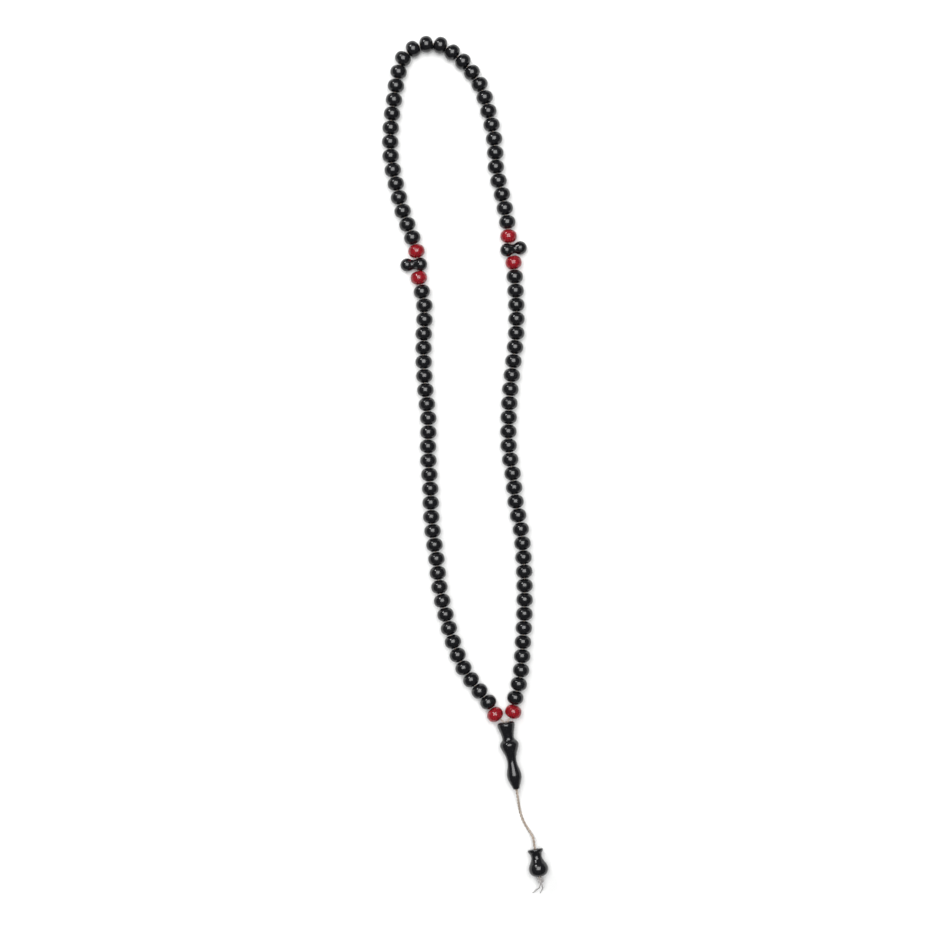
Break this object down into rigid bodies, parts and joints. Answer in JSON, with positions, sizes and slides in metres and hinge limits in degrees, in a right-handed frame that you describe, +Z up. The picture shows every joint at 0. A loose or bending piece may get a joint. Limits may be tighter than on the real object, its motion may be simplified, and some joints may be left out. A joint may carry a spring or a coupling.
{
  "type": "prayer beads",
  "caption": "Loop of small glossy black prayer beads on a thread, marked in thirds by red beads and dividers, with a turned leader bead and a tail that ends in a bead.",
  "frame": {"origin": "middle of the ground that the beads cover, on the surface they lie on", "axes": "+X to the right, +Y along the loop from the leader bead to its far end, +Z up"},
  "size_m": [0.0686, 0.3543, 0.0082],
  "materials": {
    "black_bead": "glossy moulded black plastic",
    "red_bead": "glossy translucent red plastic",
    "thread": "twisted beige cord"
  },
  "bodies": {
    "base": {"loop_thread": "thread", "red_bead_left_base": "red_bead", "red_bead_right_base": "red_bead"},
    "left_01": {"beads_left_01": "black_bead"},
    "left_02_03": {"beads_left_02": "black_bead", "beads_left_03": "black_bead"},
    "left_04_05": {"beads_left_04": "black_bead", "beads_left_05": "black_bead"},
    "left_06_07": {"beads_left_06": "black_bead", "beads_left_07": "black_bead"},
    "left_08_09": {"beads_left_08": "black_bead", "beads_left_09": "black_bead"},
    "left_10_11": {"beads_left_10": "black_bead", "beads_left_11": "black_bead"},
    "left_12_13": {"beads_left_12": "black_bead", "beads_left_13": "black_bead"},
    "left_14": {"beads_left_14": "black_bead"},
    "left_15": {"beads_left_15": "black_bead"},
    "left_red_lower": {"red_bead_left_lower": "red_bead"},
    "left_red_upper": {"red_bead_left_upper": "red_bead"},
    "top_01": {"beads_top_01": "black_bead"},
    "top_02": {"beads_top_02": "black_bead"},
    "top_03": {"beads_top_03": "black_bead"},
    "top_04": {"beads_top_04": "black_bead"},
    "top_05": {"beads_top_05": "black_bead"},
    "top_06": {"beads_top_06": "black_bead"},
    "top_07": {"beads_top_07": "black_bead"},
    "top_08": {"beads_top_08": "black_bead"},
    "right_01": {"beads_right_01": "black_bead"},
    "right_02_03": {"beads_right_02": "black_bead", "beads_right_03": "black_bead"},
    "right_04_05": {"beads_right_04": "black_bead", "beads_right_05": "black_bead"},
    "right_06_07": {"beads_right_06": "black_bead", "beads_right_07": "black_bead"},
    "right_08_09": {"beads_right_08": "black_bead", "beads_right_09": "black_bead"},
    "right_10_11": {"beads_right_10": "black_bead", "beads_right_11": "black_bead"},
    "right_12_13": {"beads_right_12": "black_bead", "beads_right_13": "black_bead"},
    "right_14": {"beads_right_14": "black_bead"},
    "right_15": {"beads_right_15": "black_bead"},
    "right_red_lower": {"red_bead_right_lower": "red_bead"},
    "right_red_upper": {"red_bead_right_upper": "red_bead"},
    "top_15": {"beads_top_15": "black_bead"},
    "top_14": {"beads_top_14": "black_bead"},
    "top_13": {"beads_top_13": "black_bead"},
    "top_12": {"beads_top_12": "black_bead"},
    "top_11": {"beads_top_11": "black_bead"},
    "top_10": {"beads_top_10": "black_bead"},
    "top_09": {"beads_top_09": "black_bead"},
    "divider_left": {"divider_left": "black_bead"},
    "divider_right": {"divider_right": "black_bead"},
    "imam": {"imam_bead": "black_bead", "tail_thread_upper": "thread"},
    "tail": {"tail_thread_lower": "thread", "knot": "thread", "thread_ends": "thread"},
    "end_bead": {"end_bead": "black_bead"}
  },
  "joints": [
    {"name": "loop_spread", "type": "hinge", "parent": "base", "child": "left_01", "pos_m": [0.01093, -0.104, 0.00345], "axis": [0, 0, 1], "range_deg": [-4.43, 12.67], "deforming": ["loop_thread"]},
    {"name": "left_02_03_turn", "type": "hinge", "parent": "left_01", "child": "left_02_03", "pos_m": [0.00082, -0.08982, 0.00345], "axis": [0, 0, 1], "range_deg": [-4.02, 11.44]},
    {"name": "left_04_05_turn", "type": "hinge", "parent": "left_02_03", "child": "left_04_05", "pos_m": [-0.00736, -0.06812, 0.00345], "axis": [0, 0, 1], "range_deg": [-4.6, 1.62]},
    {"name": "left_06_07_turn", "type": "hinge", "parent": "left_04_05", "child": "left_06_07", "pos_m": [-0.01146, -0.04525, 0.00345], "axis": [0, 0, 1], "range_deg": [-11.37, 3.99]},
    {"name": "left_08_09_turn", "type": "hinge", "parent": "left_06_07", "child": "left_08_09", "pos_m": [-0.01404, -0.02213, 0.00345], "axis": [0, 0, 1], "range_deg": [-10.41, 3.66]},
    {"name": "left_10_11_turn", "type": "hinge", "parent": "left_08_09", "child": "left_10_11", "pos_m": [-0.01521, 0.00112, 0.00345], "axis": [0, 0, 1], "range_deg": [-4.76, 1.68]},
    {"name": "left_12_13_turn", "type": "hinge", "parent": "left_10_11", "child": "left_12_13", "pos_m": [-0.01606, 0.02434, 0.00345], "axis": [0, 0, 1], "range_deg": [-2.27, 6.45]},
    {"name": "top_lift", "type": "hinge", "parent": "left_12_13", "child": "left_14", "pos_m": [-0.01705, 0.04756, 0.00345], "axis": [0.9873, 0.1589, 0], "range_deg": [0, 20], "deforming": ["loop_thread"]},
    {"name": "left_15_lift", "type": "hinge", "parent": "left_14", "child": "left_15", "pos_m": [-0.01663, 0.05924, 0.00345], "axis": [0.9873, 0.1589, 0], "range_deg": [0, 20]},
    {"name": "left_red_lower_lift", "type": "hinge", "parent": "left_15", "child": "left_red_lower", "pos_m": [-0.01845, 0.07068, 0.00345], "axis": [0.9873, 0.1589, 0], "range_deg": [0, 20]},
    {"name": "left_red_upper_lift", "type": "hinge", "parent": "left_red_lower", "child": "left_red_upper", "pos_m": [-0.01977, 0.07902, 0.00345], "axis": [0.9873, 0.1589, 0], "range_deg": [0, 20]},
    {"name": "top_01_lift", "type": "hinge", "parent": "left_red_upper", "child": "top_01", "pos_m": [-0.02081, 0.08738, 0.00345], "axis": [0.9873, 0.1589, 0], "range_deg": [0, 20]},
    {"name": "top_02_lift", "type": "hinge", "parent": "top_01", "child": "top_02", "pos_m": [-0.02482, 0.09842, 0.00345], "axis": [0.9873, 0.1589, 0], "range_deg": [0, 20]},
    {"name": "top_03_turn", "type": "hinge", "parent": "top_02", "child": "top_03", "pos_m": [-0.02789, 0.1095, 0.00345], "axis": [0, 0, 1], "range_deg": [-20.45, 7.17]},
    {"name": "top_04_turn", "type": "hinge", "parent": "top_03", "child": "top_04", "pos_m": [-0.03031, 0.12089, 0.00345], "axis": [0, 0, 1], "range_deg": [-10.26, 3.61]},
    {"name": "top_05_turn", "type": "hinge", "parent": "top_04", "child": "top_05", "pos_m": [-0.03076, 0.1325, 0.00345], "axis": [0, 0, 1], "range_deg": [-1.29, 3.65]},
    {"name": "top_06_turn", "type": "hinge", "parent": "top_05", "child": "top_06", "pos_m": [-0.02967, 0.14408, 0.00345], "axis": [0, 0, 1], "range_deg": [-3.52, 10.03]},
    {"name": "top_07_turn", "type": "hinge", "parent": "top_06", "child": "top_07", "pos_m": [-0.02799, 0.1556, 0.00345], "axis": [0, 0, 1], "range_deg": [-5.59, 15.93]},
    {"name": "top_08_turn", "type": "hinge", "parent": "top_07", "child": "top_08", "pos_m": [-0.02371, 0.16617, 0.00345], "axis": [0, 0, 1], "range_deg": [-1.61, 4.57]},
    {"name": "right_01_turn", "type": "hinge", "parent": "base", "child": "right_01", "pos_m": [0.02041, -0.1025, 0.00345], "axis": [0, 0, 1], "range_deg": [-13.74, 4.82]},
    {"name": "right_02_03_turn", "type": "hinge", "parent": "right_01", "child": "right_02_03", "pos_m": [0.02339, -0.08534, 0.00345], "axis": [0, 0, 1], "range_deg": [-10.39, 3.65]},
    {"name": "right_04_05_turn", "type": "hinge", "parent": "right_02_03", "child": "right_04_05", "pos_m": [0.02457, -0.06209, 0.00345], "axis": [0, 0, 1], "range_deg": [-1.4, 3.96]},
    {"name": "right_06_07_turn", "type": "hinge", "parent": "right_04_05", "child": "right_06_07", "pos_m": [0.02393, -0.03883, 0.00345], "axis": [0, 0, 1], "range_deg": [-4.99, 14.22]},
    {"name": "right_08_09_turn", "type": "hinge", "parent": "right_06_07", "child": "right_08_09", "pos_m": [0.02052, -0.01582, 0.00345], "axis": [0, 0, 1], "range_deg": [-4.09, 11.65]},
    {"name": "right_10_11_turn", "type": "hinge", "parent": "right_08_09", "child": "right_10_11", "pos_m": [0.0179, 0.00728, 0.00345], "axis": [0, 0, 1], "range_deg": [-2.59, 0.92]},
    {"name": "right_12_13_turn", "type": "hinge", "parent": "right_10_11", "child": "right_12_13", "pos_m": [0.019, 0.03052, 0.00345], "axis": [0, 0, 1], "range_deg": [-2.74, 0.97]},
    {"name": "right_14_lift", "type": "hinge", "parent": "right_12_13", "child": "right_14", "pos_m": [0.02122, 0.05371, 0.00345], "axis": [0.9873, 0.1589, 0], "range_deg": [0, 20]},
    {"name": "right_15_lift", "type": "hinge", "parent": "right_14", "child": "right_15", "pos_m": [0.02104, 0.0653, 0.00345], "axis": [0.9873, 0.1589, 0], "range_deg": [0, 20]},
    {"name": "right_red_lower_lift", "type": "hinge", "parent": "right_15", "child": "right_red_lower", "pos_m": [0.02039, 0.07694, 0.00345], "axis": [0.9873, 0.1589, 0], "range_deg": [0, 20]},
    {"name": "right_red_upper_lift", "type": "hinge", "parent": "right_red_lower", "child": "right_red_upper", "pos_m": [0.01871, 0.08522, 0.00345], "axis": [0.9873, 0.1589, 0], "range_deg": [0, 20]},
    {"name": "top_15_lift", "type": "hinge", "parent": "right_red_upper", "child": "top_15", "pos_m": [0.01777, 0.09359, 0.00345], "axis": [0.9873, 0.1589, 0], "range_deg": [0, 20]},
    {"name": "top_14_lift", "type": "hinge", "parent": "top_15", "child": "top_14", "pos_m": [0.01586, 0.10496, 0.00345], "axis": [0.9873, 0.1589, 0], "range_deg": [0, 20]},
    {"name": "top_13_turn", "type": "hinge", "parent": "top_14", "child": "top_13", "pos_m": [0.01316, 0.11642, 0.00345], "axis": [0, 0, 1], "range_deg": [-6.89, 19.64]},
    {"name": "top_12_turn", "type": "hinge", "parent": "top_13", "child": "top_12", "pos_m": [0.01235, 0.12801, 0.00345], "axis": [0, 0, 1], "range_deg": [-3.63, 10.33]},
    {"name": "top_11_turn", "type": "hinge", "parent": "top_12", "child": "top_11", "pos_m": [0.01031, 0.13946, 0.00345], "axis": [0, 0, 1], "range_deg": [-3.46, 1.22]},
    {"name": "top_10_turn", "type": "hinge", "parent": "top_11", "child": "top_10", "pos_m": [0.0072, 0.15067, 0.00345], "axis": [0, 0, 1], "range_deg": [-7.08, 2.49]},
    {"name": "top_09_turn", "type": "hinge", "parent": "top_10", "child": "top_09", "pos_m": [0.00111, 0.16054, 0.00345], "axis": [0, 0, 1], "range_deg": [-15.94, 5.59]},
    {"name": "divider_left_turn", "type": "hinge", "parent": "left_red_lower", "child": "divider_left", "pos_m": [-0.01977, 0.07902, 0.00345], "axis": [-0.0308, 0.9995, 0], "continuous": true},
    {"name": "divider_right_turn", "type": "hinge", "parent": "right_red_lower", "child": "divider_right", "pos_m": [0.01871, 0.08522, 0.00345], "axis": [0.1808, -0.9835, 0], "continuous": true},
    {"name": "imam_swing", "type": "hinge", "parent": "base", "child": "imam", "pos_m": [0.01675, -0.10985, 0.00395], "axis": [0, 0, 1], "range_deg": [-20, 20]},
    {"name": "tail_bend", "type": "hinge", "parent": "imam", "child": "tail", "pos_m": [0.02398, -0.15055, 0.00068], "axis": [0, 0, 1], "range_deg": [-60, 60]},
    {"name": "end_bead_slide", "type": "slide", "parent": "tail", "child": "end_bead", "axis": [-0.1717, 0.9788, -0.1116], "range_m": [0, 0.004]}
  ],
  "couplings": [
    {"joint": "left_02_03_turn", "follows": "loop_spread", "ratio": 0.90136},
    {"joint": "left_04_05_turn", "follows": "loop_spread", "ratio": -0.36142},
    {"joint": "left_06_07_turn", "follows": "loop_spread", "ratio": -0.8956},
    {"joint": "left_08_09_turn", "follows": "loop_spread", "ratio": -0.82026},
    {"joint": "left_10_11_turn", "follows": "loop_spread", "ratio": -0.37414},
    {"joint": "left_12_13_turn", "follows": "loop_spread", "ratio": 0.50769},
    {"joint": "left_15_lift", "follows": "top_lift", "ratio": 1},
    {"joint": "left_red_lower_lift", "follows": "top_lift", "ratio": 1},
    {"joint": "left_red_upper_lift", "follows": "top_lift", "ratio": 1},
    {"joint": "top_01_lift", "follows": "top_lift", "ratio": 1},
    {"joint": "top_02_lift", "follows": "top_lift", "ratio": 1},
    {"joint": "top_03_turn", "follows": "loop_spread", "ratio": -1.6128},
    {"joint": "top_04_turn", "follows": "loop_spread", "ratio": -0.80871},
    {"joint": "top_05_turn", "follows": "loop_spread", "ratio": 0.28621},
    {"joint": "top_06_turn", "follows": "loop_spread", "ratio": 0.79015},
    {"joint": "top_07_turn", "follows": "loop_spread", "ratio": 1.2556},
    {"joint": "top_08_turn", "follows": "loop_spread", "ratio": 0.35931},
    {"joint": "right_01_turn", "follows": "loop_spread", "ratio": -1.0828},
    {"joint": "right_02_03_turn", "follows": "loop_spread", "ratio": -0.81888},
    {"joint": "right_04_05_turn", "follows": "loop_spread", "ratio": 0.31108},
    {"joint": "right_06_07_turn", "follows": "loop_spread", "ratio": 1.1211},
    {"joint": "right_08_09_turn", "follows": "loop_spread", "ratio": 0.91843},
    {"joint": "right_10_11_turn", "follows": "loop_spread", "ratio": -0.20266},
    {"joint": "right_12_13_turn", "follows": "loop_spread", "ratio": -0.21456},
    {"joint": "right_14_lift", "follows": "top_lift", "ratio": 1},
    {"joint": "right_15_lift", "follows": "top_lift", "ratio": 1},
    {"joint": "right_red_lower_lift", "follows": "top_lift", "ratio": 1},
    {"joint": "right_red_upper_lift", "follows": "top_lift", "ratio": 1},
    {"joint": "top_15_lift", "follows": "top_lift", "ratio": 1},
    {"joint": "top_14_lift", "follows": "top_lift", "ratio": 1},
    {"joint": "top_13_turn", "follows": "loop_spread", "ratio": 1.5488},
    {"joint": "top_12_turn", "follows": "loop_spread", "ratio": 0.8137},
    {"joint": "top_11_turn", "follows": "loop_spread", "ratio": -0.2715},
    {"joint": "top_10_turn", "follows": "loop_spread", "ratio": -0.55754},
    {"joint": "top_09_turn", "follows": "loop_spread", "ratio": -1.2568}
  ]
}
